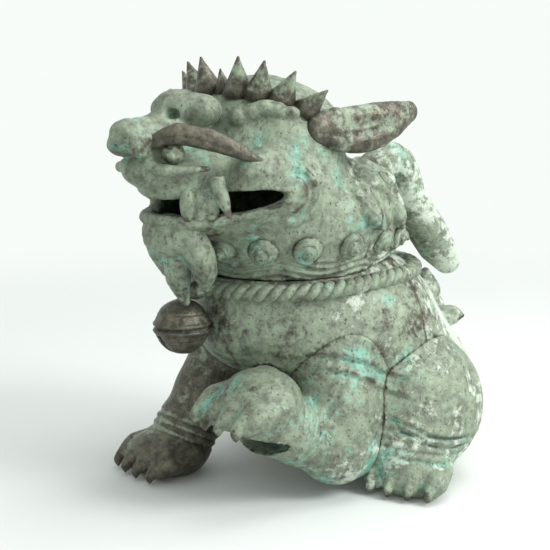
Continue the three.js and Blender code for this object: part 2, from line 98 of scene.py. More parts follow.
class Value:
    """A number that changes over a surface, worked with like any other number."""

    def __init__(self, paint, socket):
        self.paint, self.socket = paint, socket

    def math(self, operation, *others):
        return self.paint.node("ShaderNodeMath", {"operation": operation}, dict(enumerate(others)))

    def __add__(self, other):
        return self.math("ADD", self, other)

    def __radd__(self, other):
        return self.math("ADD", other, self)

    def __sub__(self, other):
        return self.math("SUBTRACT", self, other)

    def __rsub__(self, other):
        return self.math("SUBTRACT", other, self)

    def __mul__(self, other):
        return self.math("MULTIPLY", self, other)

    def __rmul__(self, other):
        return self.math("MULTIPLY", other, self)

    def between(self, low, high):
        """0 at low, 1 at high, and smooth between."""
        settings = {"interpolation_type": "SMOOTHSTEP"}
        return self.paint.node("ShaderNodeMapRange", settings, {0: self, 1: low, 2: high})


class Paint:
    """A finish, built one node at a time."""

    def __init__(self, name):
        self.material = bpy.data.materials.new(name)
        self.material.use_nodes = True
        self.tree = self.material.node_tree
        self.shader = self.tree.nodes["Principled BSDF"]

    def node(self, kind, settings, inputs, out=0):
        made = self.tree.nodes.new(kind)
        for key, setting in settings.items():
            setattr(made, key, setting)
        for key, value in inputs.items():
            self.feed(made.inputs[key], value)
        return Value(self, made.outputs[out])

    def feed(self, socket, value):
        if isinstance(value, Value):
            self.tree.links.new(value.socket, socket)
        else:
            socket.default_value = value

    def mix(self, share, first, second):
        return self.node("ShaderNodeMix", {"data_type": "RGBA"}, {0: share, 6: first, 7: second}, 2)

    def place(self):
        return self.node("ShaderNodeTexCoord", {}, {}, "Object")

    def noise(self, scale, detail, rough):
        inputs = {"Vector": self.place(), "Scale": scale, "Detail": detail, "Roughness": rough}
        return self.node("ShaderNodeTexNoise", {}, inputs)

    def attribute(self, name):
        return self.node("ShaderNodeAttribute", {"attribute_name": name}, {}, 2)


# Far from the statue the table takes the colour of the wall, so no edge shows behind it.
TABLE_SIZE = 8
TABLE_COLOUR = (0.6, 0.62, 0.61, 1)
TABLE_ROUGHNESS = 0.6
FADE_FROM, FADE_TO = 0.4, 1.5
bpy.ops.mesh.primitive_plane_add(size=TABLE_SIZE)
table = bpy.context.object
table.name = "table"
table_paint = Paint("white_table")
table_paint.feed(table_paint.shader.inputs["Base Color"], TABLE_COLOUR)
table_paint.feed(table_paint.shader.inputs["Roughness"], TABLE_ROUGHNESS)
reach = table_paint.node("ShaderNodeVectorMath", {"operation": "LENGTH"}, {0: table_paint.place()}, "Value")
near_table = Value(table_paint, table_paint.shader.outputs["BSDF"])
far_wall = table_paint.node("ShaderNodeEmission", {}, {"Color": WALL_COLOUR, "Strength": WALL_GLOW})
faded = table_paint.node(
    "ShaderNodeMixShader", {}, {0: reach.between(FADE_FROM, FADE_TO), 1: near_table, 2: far_wall},
)
table_paint.feed(table_paint.tree.nodes["Material Output"].inputs["Surface"], faded)
table.data.materials.append(table_paint.material)

# ---- Head and mane ---------------------------------------------------------------------------
# The head is one hollow casting of leaded bronze, open at the neck and pierced by the mouth.
# Its founder built it up in wax, ball on ball, and cut the hair and wrinkles into the wax.
# Sizes here are millimetres from the point on the ground under the neck's axis.
BELL_REACH = 121.1  # the bell's front stands this far ahead of the neck's axis
neck_axis_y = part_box("bell")[0][1] + BELL_REACH / 1000
body_place = Matrix.Translation((0, neck_axis_y, 0)) @ Matrix.Scale(0.001, 4)
head_place = body_place @ Matrix.Rotation(math.radians(10), 4, "Z")
WALL = 3.4
RELIEF_NAMES = ("relief", "broad_relief")
RELIEF_REACH = (3.0, 8.0)  # fine and broad relief look this far round a point


def ball(at, size, turn=(0, 0, 0)):
    """An egg of wax: where it reaches, and how far any point is from its skin."""
    turned = np.array(Euler([math.radians(a) for a in turn]).to_matrix())
    size = np.array(size, float)
    at = np.array(at, float)
    reach = np.sqrt(((turned * size) ** 2).sum(1))

    def distance(x, y, z):
        local = [
            turned[0, i] * (x - at[0]) + turned[1, i] * (y - at[1]) + turned[2, i] * (z - at[2])
            for i in range(3)
        ]
        inner = np.sqrt(sum((local[i] / size[i]) ** 2 for i in range(3)))
        slope = np.sqrt(sum((local[i] / size[i] ** 2) ** 2 for i in range(3)))
        return inner * (inner - 1) / np.maximum(slope, 1e-6)

    return at - reach, at + reach, distance


def smooth_line(points, steps=6):
    """A smooth line through the given points."""
    p = np.array(points, float)
    p = np.vstack([2 * p[0] - p[1], p, 2 * p[-1] - p[-2]])
    t = np.linspace(0, 1, steps, endpoint=False)[:, None]
    parts = []
    for a, b, c, d in zip(p[:-3], p[1:-2], p[2:-1], p[3:]):
        bend, twist = 2 * a - 5 * b + 4 * c - d, 3 * b - a - 3 * c + d
        parts.append(0.5 * (2 * b + (c - a) * t + bend * t ** 2 + twist * t ** 3))
    return np.vstack(parts + [p[-2:-1]])


def rod(points, widths, steps=4):
    """A roll of wax along a smooth line, as thick as the widths say."""
    line = smooth_line(points, steps)
    width = np.interp(np.linspace(0, 1, len(line)), np.linspace(0, 1, len(widths)), widths)
    reach = width.max()

    def distance(x, y, z):
        best = None
        for a, b, ra, rb in zip(line[:-1], line[1:], width[:-1], width[1:]):
            ab = b - a
            along = ((x - a[0]) * ab[0] + (y - a[1]) * ab[1] + (z - a[2]) * ab[2]) / (ab @ ab)
            along = np.clip(along, 0, 1)
            d = np.sqrt((x - a[0] - along * ab[0]) ** 2 + (y - a[1] - along * ab[1]) ** 2
                        + (z - a[2] - along * ab[2]) ** 2) - ra - along * (rb - ra)
            best = d if best is None else np.minimum(best, d)
        return best

    return line.min(0) - reach, line.max(0) + reach, distance


def merged(old, new, blend):
    """Two skins run together, with a fillet as wide as the blend."""
    share = np.clip(0.5 + 0.5 * (new - old) / blend, 0, 1)
    return new + (old - new) * share - blend * share * (1 - share)


class Clay:
    """A block of space that holds how far each point is from the wax's skin."""

    EMPTY = 40.0  # the distance held where no wax is near
    MARGIN = 12  # how far round a shape its distances are worked out

    def __init__(self, low, high, cell):
        self.low, self.cell = np.array(low, float), cell
        counts = [int(math.ceil((b - a) / cell)) + 1 for a, b in zip(low, high)]
        self.axes = [a + cell * np.arange(n, dtype=np.float32) for a, n in zip(low, counts)]
        self.field = np.full(counts, self.EMPTY, np.float32)

    def window(self, low, high):
        """The cells between two corners, and the places of those cells."""
        cut = tuple(
            slice(int(np.searchsorted(axis, a)), int(np.searchsorted(axis, b)))
            for axis, a, b in zip(self.axes, low, high)
        )
        x, y, z = np.meshgrid(*[axis[c] for axis, c in zip(self.axes, cut)], indexing="ij", sparse=True)
        return cut, x, y, z

    def add(self, shape, blend=5, dig=False):
        low, high, distance = shape
        margin = blend + self.MARGIN
        cut, x, y, z = self.window(low - margin, high + margin)
        sign = -1 if dig else 1
        self.field[cut] = sign * merged(sign * self.field[cut], distance(x, y, z), blend)

    def dig(self, shape, blend=3):
        self.add(shape, blend, dig=True)

    def draw(self, points, width, depth, smooth=5):
        """Cuts a groove along a line on the skin, or raises a ridge if the depth is negative."""
        low, high, distance = rod(points, [0.01, 0.01], smooth)
        cut, x, y, z = self.window(low - 3 * width, high + 3 * width)
        self.field[cut] += depth * np.exp(-((distance(x, y, z) / width) ** 2))

    def shift(self, low, high, amount):
        """Moves the skin in a region by an amount worked out from the place."""
        cut, x, y, z = self.window(np.array(low), np.array(high))
        self.field[cut] += amount(x, y, z)

    def sample(self, field, points):
        """The field at any points, blended from the eight cells round each."""
        place = (np.asarray(points, float) - self.low) / self.cell
        place = np.clip(place, 0, np.array(field.shape) - 1.001)
        base = place.astype(int)
        share = place - base
        total = 0
        for corner in range(8):
            bit = [(corner >> i) & 1 for i in range(3)]
            weight = np.prod([share[..., i] if bit[i] else 1 - share[..., i] for i in range(3)], 0)
            at = tuple(base[..., i] + bit[i] for i in range(3))
            total = total + weight * field[at]
        return total

    def meet(self, centre, heading, far=190):
        """Where a line from outside towards the centre first meets the skin."""
        steps = np.arange(far, 1, -0.5)
        points = np.array(centre) + steps[:, None] * np.array(heading)
        inside = np.nonzero(self.sample(self.field, points) < 0)[0]
        return points[inside[0]] if len(inside) else points[-1]

    def slope(self, point):
        """The way the skin faces at a point."""
        steps = np.eye(3) * 2.5
        rise = [self.sample(self.field, point + s) - self.sample(self.field, point - s) for s in steps]
        return np.array(rise) / np.linalg.norm(rise)

    def mesh(self, name, place, field=None):
        """The skin as a mesh, with how hollow or proud each point is."""
        field = self.field if field is None else field
        grid = openvdb.FloatGrid()
        closed = np.pad(field, 1, constant_values=5.0).astype(np.float32)
        grid.copyFromArray(closed)
        points, triangles, quads = grid.convertToPolygons(isovalue=0.0, adaptivity=0.0)
        points = self.low + (points - 1) * self.cell
        relief = [
            (self.sample(blurred(field, radius, self.cell), points) / radius).astype(np.float32)
            for radius in RELIEF_REACH
        ]
        data = bpy.data.meshes.new(name)
        faces = [tuple(q) for q in quads.tolist()] + [tuple(t) for t in triangles.tolist()]
        data.from_pydata([tuple(place @ Vector(p)) for p in points.tolist()], [], faces)
        for kind, values in zip(RELIEF_NAMES, relief):
            data.attributes.new(kind, "FLOAT", "POINT").data.foreach_set("value", values)
        data.shade_smooth()
        made = bpy.data.objects.new(name, data)
        scene.collection.objects.link(made)
        return made


def blurred(field, radius, cell):
    """The field averaged over a box around each point, capped so that only nearby skin counts."""
    reach = max(1, int(round(radius / cell)))
    result = np.clip(field, -2 * radius, 2 * radius)
    for axis in range(3):
        padded = np.pad(result, [(reach + 1, reach) if i == axis else (0, 0) for i in range(3)], mode="edge")
        total = np.cumsum(padded, axis=axis, dtype=np.float64)
        size = field.shape[axis]
        upper = np.take(total, range(2 * reach + 1, 2 * reach + 1 + size), axis=axis)
        lower = np.take(total, range(size), axis=axis)
        result = ((upper - lower) / (2 * reach + 1)).astype(np.float32)
    return result


def heading(round_, rise):
    """A direction, in degrees round from the lion's front to its left, and up."""
    a, e = math.radians(round_), math.radians(rise)
    return np.array([math.sin(a) * math.cos(e), -math.cos(a) * math.cos(e), math.sin(e)])


def curl_line(at, normal, radius, turns, hand, lift=0.0):
    """A spiral on a surface, from its rim to its eye."""
    normal = np.array(normal, float)
    side = np.cross(normal, (0, 0, 1.0))
    side /= np.linalg.norm(side) + 1e-9
    up = np.cross(side, normal)
    t = np.linspace(0, 1, 22)
    angle = hand * t * turns * 2 * math.pi
    reach = radius * (1 - 0.88 * t)
    return (np.array(at) + np.outer(np.cos(angle) * reach, side) + np.outer(np.sin(angle) * reach, up)
            + np.outer(lift * t, normal))


SIDES = (1, -1)
head = Clay((-112, -182, 172), (112, 128, 364), 1.25)
HEAD_CENTRE = (0, -27, 280)
MANE_CENTRE = (0, 8, 226)
head.add(ball((0, -24, 290), (76, 64, 53)), 12)
head.add(ball((0, -42, 256), (84, 77, 46)), 12)
head.add(ball(MANE_CENTRE, (94, 96, 58)), 14)
head.add(ball((0, 2, 192), (82, 70, 38)), 14)
head.add(ball((0, 58, 204), (69, 55, 33)), 14)
head.add(ball((0, -98, 266), (42, 44, 27)), 14)
head.add(ball((0, -92, 233), (44, 44, 16)), 12)
head.add(ball((0, -122, 298), (19, 36, 17)), 9)

# The snub nose turns up, with a dark smooth top and two round nostrils on its face.
head.add(ball((0, -124, 271), (30, 36, 17)), 9)
head.add(ball((0, -159, 300), (15, 14, 11)), 9)
for side in SIDES:
    head.add(ball((side * 12, -156, 291), (9, 13, 9)), 6)
    head.dig(ball((side * 7.5, -171, 289), (4, 8, 4.4), (20, 0, 0)), 1.5)
    head.draw([(side * 13, -170, 283), (side * 20, -160, 285), (side * 22, -148, 292)], 1.8, 1.6)
head.draw([(0, -172, 306), (0, -175, 299), (0, -171, 288), (0, -161, 276), (0, -158, 262)], 2.0, 1.4)
head.draw([(-19, -149, 300), (-13, -154, 308), (0, -156, 312), (13, -154, 308), (19, -149, 300)], 2.0, 1.6)

# The forehead has a middle swelling and a knob over each eye, and scalloped lobes behind them.
head.add(ball((0, -112, 317), (18, 19, 15)), 8)
for side in SIDES:
    head.add(ball((side * 20, -103, 316), (14, 15, 12)), 9)
    head.dig(ball((side * 10, -124, 313), (4, 7, 4)), 4)
    head.draw([(side * 8, -112, 332), (side * 24, -98, 331), (side * 38, -82, 326)], 2.5, -1.6)
    for round_, rise, size in ((34, 27, 9), (43, 29, 9), (52, 31, 9), (61, 30, 8), (70, 27, 7)):
        place = head.meet(HEAD_CENTRE, heading(side * round_, rise))
        head.add(ball(place, (size, size, size * 0.85)), 2.5)
        face = head.slope(place)
        head.draw(curl_line(place + face * size * 0.8, face, size * 0.62, 1.4, side, lift=1.5), 1.1, 1.3, 2)
    for rise, width in ((40, 3), (35, 2)):
        line = [head.meet(HEAD_CENTRE, heading(side * r, rise)) for r in range(20, 96, 12)]
        head.draw(line, width, -1.6)

# The eye sockets are deep, under a heavy lid, with a pouch below each.
for side in SIDES:
    head.dig(ball((side * 28, -148, 287), (13, 15, 9)), 4)
    head.dig(ball((side * 42, -122, 286), (10, 11, 7)), 4)
    head.add(rod([(side * 14, -154, 277), (side * 27, -146, 273), (side * 46, -122, 274)], [2, 4.5, 2]), 4)
    head.add(ball((side * 62, -80, 272), (18, 24, 15)), 12)
    head.dig(ball((side * 58, -90, 305), (14, 20, 10)), 14)

# The mouth is pierced from side to side, and rises towards its corners.
MOUTH_CORNER, MOUTH_LEVEL, MOUTH_RISE, MOUTH_CENTRE = -70, 243, 0.15, (0, -40, 250)
CHEEK_CENTRE = (0, -40, 252)


def mouth_middle(y):
    return MOUTH_LEVEL + (y + 132) * MOUTH_RISE


def mouth(x, y, z):
    half = 9.0 * np.sqrt(np.clip((MOUTH_CORNER - y) / 22, 0, 1)) * np.clip(1.1 + (y + 105) * 0.016, 0.55, 1)
    return np.maximum(np.abs(z - mouth_middle(y)) - half, y - MOUTH_CORNER) + 0 * x


def lip(side, lift):
    """A line along the lip, from the middle of the mouth to its corner."""
    points = []
    for round_ in (0, 18, 36, 52, 64, 72):
        aim = heading(side * round_, 0)
        place = head.meet(MOUTH_CENTRE, aim)
        for _ in range(3):
            closing = max(0.25, min(1, (MOUTH_CORNER - place[1]) / 22))
            height = mouth_middle(place[1]) + lift * closing
            place = head.meet((0, MOUTH_CENTRE[1], height), aim)
        points.append(place + aim * -1.5)
    return points


LIP_LIFT = 12
upper_lips = [lip(side, LIP_LIFT) for side in SIDES]
lower_lips = [lip(side, -LIP_LIFT) for side in SIDES]
for line in upper_lips + lower_lips:
    head.add(rod(line, [3.6, 4.2, 4, 3.2]), 4)
for side in SIDES:
    for radius, depth in ((12, -2.6), (18, 2.4), (24, -2.4), (30, 2.0)):
        ring = []
        for turn in range(-80, 81, 20):
            a = math.radians(turn)
            aim = heading(side * (72 + radius * math.cos(a) * 0.62), radius * math.sin(a) * 0.72)
            ring.append(head.meet(CHEEK_CENTRE, aim))
        head.draw(ring, 2.6, depth, 3)

# The mane's lower edge is combed in long level strands, and its back falls in flame-shaped tufts.
def strands(x, y, z):
    """How far each combed strand stands out or lies in."""
    round_ = np.arctan2(x, -(y - 8))
    wave = np.sin((z + 3 * np.sin(round_ * 7)) * 1.15)
    fade = np.clip((204 - z) / 6, 0, 1)
    return 0.9 * wave * fade


head.shift((-112, -182, 172), (112, 128, 212), strands)
TUFT_ROWS = ((86, 6), (98, 24), (112, 4), (126, 22), (140, 4), (154, 22), (168, 5))
for side in SIDES:
    for round_, rise in TUFT_ROWS:
        root = head.meet(MANE_CENTRE, heading(side * round_, rise + 8))
        middle = head.meet(MANE_CENTRE, heading(side * (round_ + 5), rise - 2))
        tip = head.meet(MANE_CENTRE, heading(side * (round_ + 12), rise - 9))
        outward = heading(side * (round_ + 8), 0)
        head.add(rod([root - outward * 3, middle + outward * 1.5, tip + outward * 5], [8, 9, 2.5]), 3)
        for bend in (-4, 0, 4):
            a = head.meet(MANE_CENTRE, heading(side * (round_ + bend), rise + 7))
            b = head.meet(MANE_CENTRE, heading(side * (round_ + 5 + bend * 0.8), rise - 2))
            c = head.meet(MANE_CENTRE, heading(side * (round_ + 11 + bend * 0.3), rise - 8))
            head.draw([a, b, c], 1.1, 1.1, 4)

# Hair is drawn back from the brow over the crown.
for side in SIDES:
    for round_ in range(100, 181, 10):
        line = [
            head.meet(HEAD_CENTRE, heading(side * (round_ + 3 * math.sin(rise)), rise))
            for rise in (72, 56, 40, 26)
        ]
        head.draw(line, 1.5, 1.0)

noise_seed = np.random.RandomState(7)


def dents(clay, count, low, high, size, depth):
    """The skin's own unevenness: soft dents and swellings left by the hand."""
    for _ in range(count):
        at = noise_seed.uniform(low, high)
        radius = noise_seed.uniform(*size)
        amount = noise_seed.uniform(-depth, depth)
        cut, x, y, z = clay.window(at - 2 * radius, at + 2 * radius)
        if all(c.stop > c.start for c in cut):
            square = (x - at[0]) ** 2 + (y - at[1]) ** 2 + (z - at[2]) ** 2
            clay.field[cut] += amount * np.exp(-square / radius ** 2 * 1.5)


dents(head, 900, (-105, -150, 180), (105, 110, 345), (4, 12), 0.9)
dents(head, 3500, (-105, -165, 180), (105, 110, 345), (1.6, 4), 0.8)

# The core that leaves the head hollow is smoother than the skin, and the neck joint slopes back.
head_x, head_y, head_z = np.meshgrid(*head.axes, indexing="ij", sparse=True)
CORE_SMOOTHING, THICKER, THINNER = 7, 1.5, 0.6
head_core = blurred(head.field, CORE_SMOOTHING, head.cell) + WALL + THICKER
head_core = np.maximum(head_core, head.field + WALL - THINNER)
NECK_JOINT, NECK_SLOPE, NECK_GAP, SEAM_GAP = 184, 0.052, 0.5, 0.2
hollow = np.maximum(head.field, -head_core)
hollow = np.maximum(hollow, -mouth(head_x, head_y, head_z))
hollow = np.maximum(hollow, NECK_JOINT + NECK_GAP + head_y * NECK_SLOPE - head_z)
FACE_JOINT = 12
face_half = np.maximum(hollow, head_y - FACE_JOINT - SEAM_GAP)
mane_half = np.maximum(hollow, FACE_JOINT - SEAM_GAP - head_y)


def cut_loose(piece):
    """Drops stray crumbs and keeps the largest connected body."""
    mesh = bmesh.new()
    mesh.from_mesh(piece.data)
    mesh.verts.ensure_lookup_table()
    seen = np.zeros(len(mesh.verts), bool)
    groups = []
    for start in mesh.verts:
        if seen[start.index]:
            continue
        seen[start.index] = True
        stack, group = [start], []
        while stack:
            vertex = stack.pop()
            group.append(vertex)
            for edge in vertex.link_edges:
                other = edge.other_vert(vertex)
                if not seen[other.index]:
                    seen[other.index] = True
                    stack.append(other)
        groups.append(group)
    groups.sort(key=len, reverse=True)
    for group in groups[1:]:
        bmesh.ops.delete(mesh, geom=group, context="VERTS")
    mesh.to_mesh(piece.data)
    mesh.free()


# The patina: dark handled bronze on the ridges, grey-green over it, blue-green in the hollows, pale lime
# bloom in patches that grows towards the rear as painted light from the back, ochre earth where the surface
# is rough, and painted shade in the deepest hollows.
def tint(code):
    """A paint chip's sRGB code as the linear colour that light needs."""
    parts = [int(code[i:i + 2], 16) / 255 for i in (1, 3, 5)]
    return tuple(c / 12.92 if c < 0.04045 else ((c + 0.055) / 1.055) ** 2.4 for c in parts) + (1,)


def bronze(name, green, pale, dark, earth):
    """Patinated bronze. Each share says how much of the surface that colour takes."""
    paint = Paint(name)
    relief, broad = (paint.attribute(kind) for kind in RELIEF_NAMES)
    cloud = paint.noise(16, 4, 0.55)
    blotch = paint.noise(55, 6, 0.66)
    mottle = paint.noise(150, 5, 0.7)
    speckle = paint.noise(420, 4, 0.65)
    grain = paint.noise(1500, 3, 0.6)
    spread = (cloud - 0.5) * 1.8 + (blotch - 0.5) * 1.7 + (mottle - 0.5) * 1.1
    ground = (mottle * 0.6 + blotch * 0.6).between(0.42, 0.78)
    colour = paint.mix(ground, tint("#565c4f"), tint("#87957f"))

    verdigris = (spread - broad * 1.3 - relief * 1.1).between(0.46 - green, 0.82 - green)
    blue_green = paint.mix(speckle.between(0.35, 0.65), tint("#508877"), tint("#7db29e"))
    colour = paint.mix(verdigris * 0.75, colour, blue_green)

    streaks = (paint.noise(23, 5, 0.62) - 0.5) * 4 + (mottle - 0.5) * 1.5 - relief * 0.8
    turquoise = streaks.between(0.5 - green, 1.15 - green)
    colour = paint.mix(turquoise * 0.7, colour, tint("#6fae9d"))

    # Pale bloom in patches, made stronger towards the rear: that rise to the rear is painted light from the
    # back.
    rearward = paint.node("ShaderNodeSeparateXYZ", {}, {0: paint.place()}, "Y")
    patches = (blotch - 0.5) * -2.2 + (mottle - 0.5) * 1.6 + (cloud - 0.5) * 2
    bloom_and_lit_rear = (rearward * 3.0 + patches).between(0.5 - pale, 0.95 - pale)
    colour = paint.mix(bloom_and_lit_rear * 0.75, colour, tint("#c3cdbf"))

    crust = (paint.noise(37, 5, 0.7) - 0.5) * 3 + (speckle - 0.5) - relief * 1.2
    soil = crust.between(0.95 - earth, 1.3 - earth)
    colour = paint.mix(soil * 0.8, colour, tint("#94835c"))

    worn = (relief * 1.3 + broad * 0.6 - spread * 0.9).between(0.72 - dark, 1.15 - dark)
    brown = paint.mix(mottle.between(0.35, 0.65), tint("#36322b"), tint("#5c5549"))
    colour = paint.mix(worn * 0.88, colour, brown)

    # Painted shade: near-black laid into the deep hollows, where shade falls.
    crevice_shade = (relief * -1 + (mottle - 0.5) * 0.2).between(0.16, 0.42)
    colour = paint.mix(crevice_shade * 0.85, colour, tint("#25302b"))
    pits = speckle.between(0.40, 0.33)
    colour = paint.mix(pits * 0.7, colour, tint("#33332b"))

    paint.feed(paint.shader.inputs["Base Color"], colour)
    paint.feed(paint.shader.inputs["Roughness"], 0.58 - worn * 0.16 + bloom_and_lit_rear * 0.14)
    paint.feed(paint.shader.inputs["Metallic"], 0.1 + worn * 0.4)
    height = mottle * 0.6 + speckle * 0.45 + grain * 0.15 - pits * 0.5
    bump = paint.node("ShaderNodeBump", {}, {"Strength": 0.75, "Distance": 0.0012, "Height": height})
    paint.feed(paint.shader.inputs["Normal"], bump)
    return paint.material


green_bronze = bronze("green_bronze", green=0.36, pale=0.26, dark=0.34, earth=0.34)
dark_bronze = bronze("dark_bronze", green=0.0, pale=-0.1, dark=1.1, earth=0.25)
ear_bronze = bronze("ear_bronze", green=-0.1, pale=-0.3, dark=0.9, earth=0.25)
# The rump's copy is the palest: partly its own bloom, partly painted light on the flank the back light falls
# on.
lit_flank_bronze = bronze("lit_flank_bronze", green=0.3, pale=0.62, dark=0.12, earth=0.05)
pale_bronze = bronze("pale_bronze", green=0.3, pale=0.3, dark=0.2, earth=0.05)


def stand_for(piece, slot, *nodes):
    """Says which castings a piece stands for; the slot it is given is not used."""
    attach(piece, "root")
    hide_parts(*nodes)


def fit(piece, material, slot, *nodes):
    """Gives a piece its finish, and says which castings it stands for."""
    piece.data.materials.append(material)
    stand_for(piece, slot, *nodes)


face_piece = head.mesh("face", head_place, face_half)
cut_loose(face_piece)
fit(face_piece, green_bronze, "patina_green", "head_shell", "lower_jaw")
mane_piece = head.mesh("mane", head_place, mane_half)
cut_loose(mane_piece)
fit(mane_piece, green_bronze, "patina_green", "mane_shell")

# ---- Body ------------------------------------------------------------------------------------
# The chest and the rump are two hollow castings, brazed round the waist and open underneath.
# The legs are cast apart and brazed on at the shoulder and the hip. All are built in one block
# of wax first, so that the skin runs on smoothly across each joint.
BODY_BLOCK = ((-156, -128, -6), (156, 200, 204), 1.5)
body = Clay(*BODY_BLOCK)
TORSO = (
    ball((0, 26, 142), (86, 102, 60)),
    ball((0, 0, 184), (80, 66, 44)),
    ball((0, 66, 124), (94, 82, 72)),
    ball((0, 108, 60), (98, 84, 88)),
)
torso = Clay(*BODY_BLOCK)
for shape in TORSO:
    torso.add(shape, 22)


def paw(clay, at, round_, spread, size):
    """Four toes side by side, each with a blunt claw."""
    ahead, across = heading(round_, 0), heading(round_ + 90, 0)

    def spot(toe, forward, rise):
        return toe + ahead * size * forward + (0, 0, size * rise)

    for place in (-1.5, -0.5, 0.5, 1.5):
        toe = np.array(at) + across * place * spread - ahead * abs(place) * 3
        knuckles = [spot(toe, -1.7, 0.8), spot(toe, 0, 0.35), spot(toe, 0.7, 0)]
        clay.add(rod(knuckles, [size * 0.8, size, size * 0.72]), 2)
        claw = [spot(toe, 0.9, 0.4), spot(toe, 1.5, -0.3), spot(toe, 1.55, -0.75)]
        clay.add(rod(claw, [size * 0.42, size * 0.36, size * 0.12]), 1.5)


planted, raised, hind_left, hind_right = (Clay(*BODY_BLOCK) for _ in range(4))
planted.add(ball((-56, -6, 108), (34, 44, 50)), 10)
planted.add(ball((-56, -44, 64), (27, 27, 42), (-18, 0, 0)), 14)
planted.add(ball((-58, -62, 34), (29, 28, 28)), 12)
planted.add(ball((-60, -76, 17), (36, 34, 22)), 8)
paw(planted, (-62, -96, 12), 0, 19, 12.5)

raised.add(ball((58, 22, 112), (34, 46, 48)), 10)
raised.add(ball((70, 12, 66), (32, 36, 48)), 16)
raised.add(ball((74, 4, 37), (28, 30, 27)), 12)
raised.add(ball((70, -32, 58), (26, 40, 26), (-30, 0, 0)), 12)
raised.add(ball((62, -62, 86), (36, 33, 28)), 8)
raised.add(ball((66, -50, 62), (27, 32, 19)), 8)
paw(raised, (58, -86, 79), 0, 19.5, 13.5)

for clay, side in ((hind_left, 1), (hind_right, -1)):
    clay.add(ball((side * 80, 92, 64), (46, 58, 60)), 10)
    clay.add(ball((side * 90, 70, 34), (36, 36, 34)), 14)
    clay.add(ball((side * 100, 66, 14), (33, 32, 20)), 9)
    paw(clay, (side * 110, 48, 11), side * 25, 17, 10.5)


def rings(clay, centre, axis, starts, width, depth):
    """Wrinkles that run round a limb, at the given heights along its axis."""
    axis = np.array(axis, float) / np.linalg.norm(axis)
    low, high = np.array(centre) - 52, np.array(centre) + 52
    cut, x, y, z = clay.window(low, high)
    along = (x - centre[0]) * axis[0] + (y - centre[1]) * axis[1] + (z - centre[2]) * axis[2]
    for start in starts:
        clay.field[cut] += depth * np.exp(-((along - start) / width) ** 2)


rings(planted, (-58, -60, 34), (0, 0.5, 1), (-6, 1, 8), 1.6, 1.5)
rings(raised, (66, -42, 72), (-0.2, 1, -0.65), (-4, 2, 8, 14), 1.4, 1.3)
rings(hind_left, (96, 70, 34), (0, 0.2, 1), (-6, 1, 8, 15), 1.6, 1.3)
rings(hind_right, (-96, 70, 34), (0, 0.2, 1), (-6, 1, 8, 15), 1.6, 1.3)

legs = {"planted": planted, "raised": raised, "hind_left": hind_left, "hind_right": hind_right}
joined = torso.field.copy()
LEG_BLEND = 13
for leg in legs.values():
    joined = merged(joined, leg.field, LEG_BLEND)
body.field = joined
dents(body, 1200, (-140, -110, 5), (140, 185, 185), (5, 16), 1.0)
dents(body, 4500, (-140, -120, 2), (140, 190, 185), (2, 4.5), 0.8)

# Folds of skin run over the haunches and the shoulders, and hair is combed off the elbow.
FOLDS = (
    ((118, 40, 66), (127, 62, 52), (127, 84, 46), (118, 108, 44)),
    ((122, 44, 56), (128, 64, 43), (127, 86, 37), (118, 110, 36)),
    ((84, -26, 118), (92, 4, 104), (98, 30, 92), (94, 52, 78)),
    ((78, -30, 128), (88, 0, 118), (96, 30, 108), (96, 54, 94)),
)
for fold in FOLDS:
    for side in SIDES:
        line = []
        for x, y, z in smooth_line([(side * fx, fy, fz) for fx, fy, fz in fold], 4):
            aim = np.array((x, 0, z - 60))
            line.append(body.meet((0, y, 60), aim / np.linalg.norm(aim), 170))
        body.draw(line, 1.8, 1.8, 2)
        body.draw([np.array(q) + (0, 0, 4) for q in line], 2.2, -1.2, 2)

# Snail curls are cut in the wax at each joint of the legs.
for at, radius, hand in (
    ((104, -14, 60), 8, 1), ((99, 2, 52), 6, 1), ((95, -24, 34), 5, 1), ((128, 84, 104), 9, -1),
    ((-98, -50, 60), 7, -1), ((-128, 84, 104), 9, 1),
):
    direction = np.array(at) - np.array((0, at[1] + 6, 60.0))
    direction /= np.linalg.norm(direction)
    place = body.meet((0, at[1], at[2]), direction, 150)
    face = body.slope(place)
    body.draw(curl_line(place, face, radius, 1.8, hand), 1.5, 2.4, 2)
    body.draw(curl_line(place, face, radius * 1.3, 1.0, hand), 2.2, -2.0, 2)

body_x, body_y, body_z = np.meshgrid(*body.axes, indexing="ij", sparse=True)
NECK_TOP = NECK_JOINT + body_y * NECK_SLOPE
SOLE = 0.05
floor_cut = np.maximum(SOLE - body_z, body_z - NECK_TOP)
torso_core = torso.field + WALL
WAIST = 84
skin = np.maximum(body.field, floor_cut)
nearest_leg = np.minimum.reduce([leg.field for leg in legs.values()])
torso_part = np.maximum(skin, torso.field - nearest_leg - SEAM_GAP)
torso_part = np.maximum(torso_part, -torso_core)
chest_piece = body.mesh("chest", body_place, np.maximum(torso_part, body_y - WAIST - SEAM_GAP))
cut_loose(chest_piece)
fit(chest_piece, green_bronze, "patina_green", "chest_shell")
rump_piece = body.mesh("rump", body_place, np.maximum(torso_part, WAIST - SEAM_GAP - body_y))
cut_loose(rump_piece)
# The rump wears the palest copy, its flank painted lighter as if lit from the back.
fit(rump_piece, lit_flank_bronze, "pale_patina", "rump_shell")

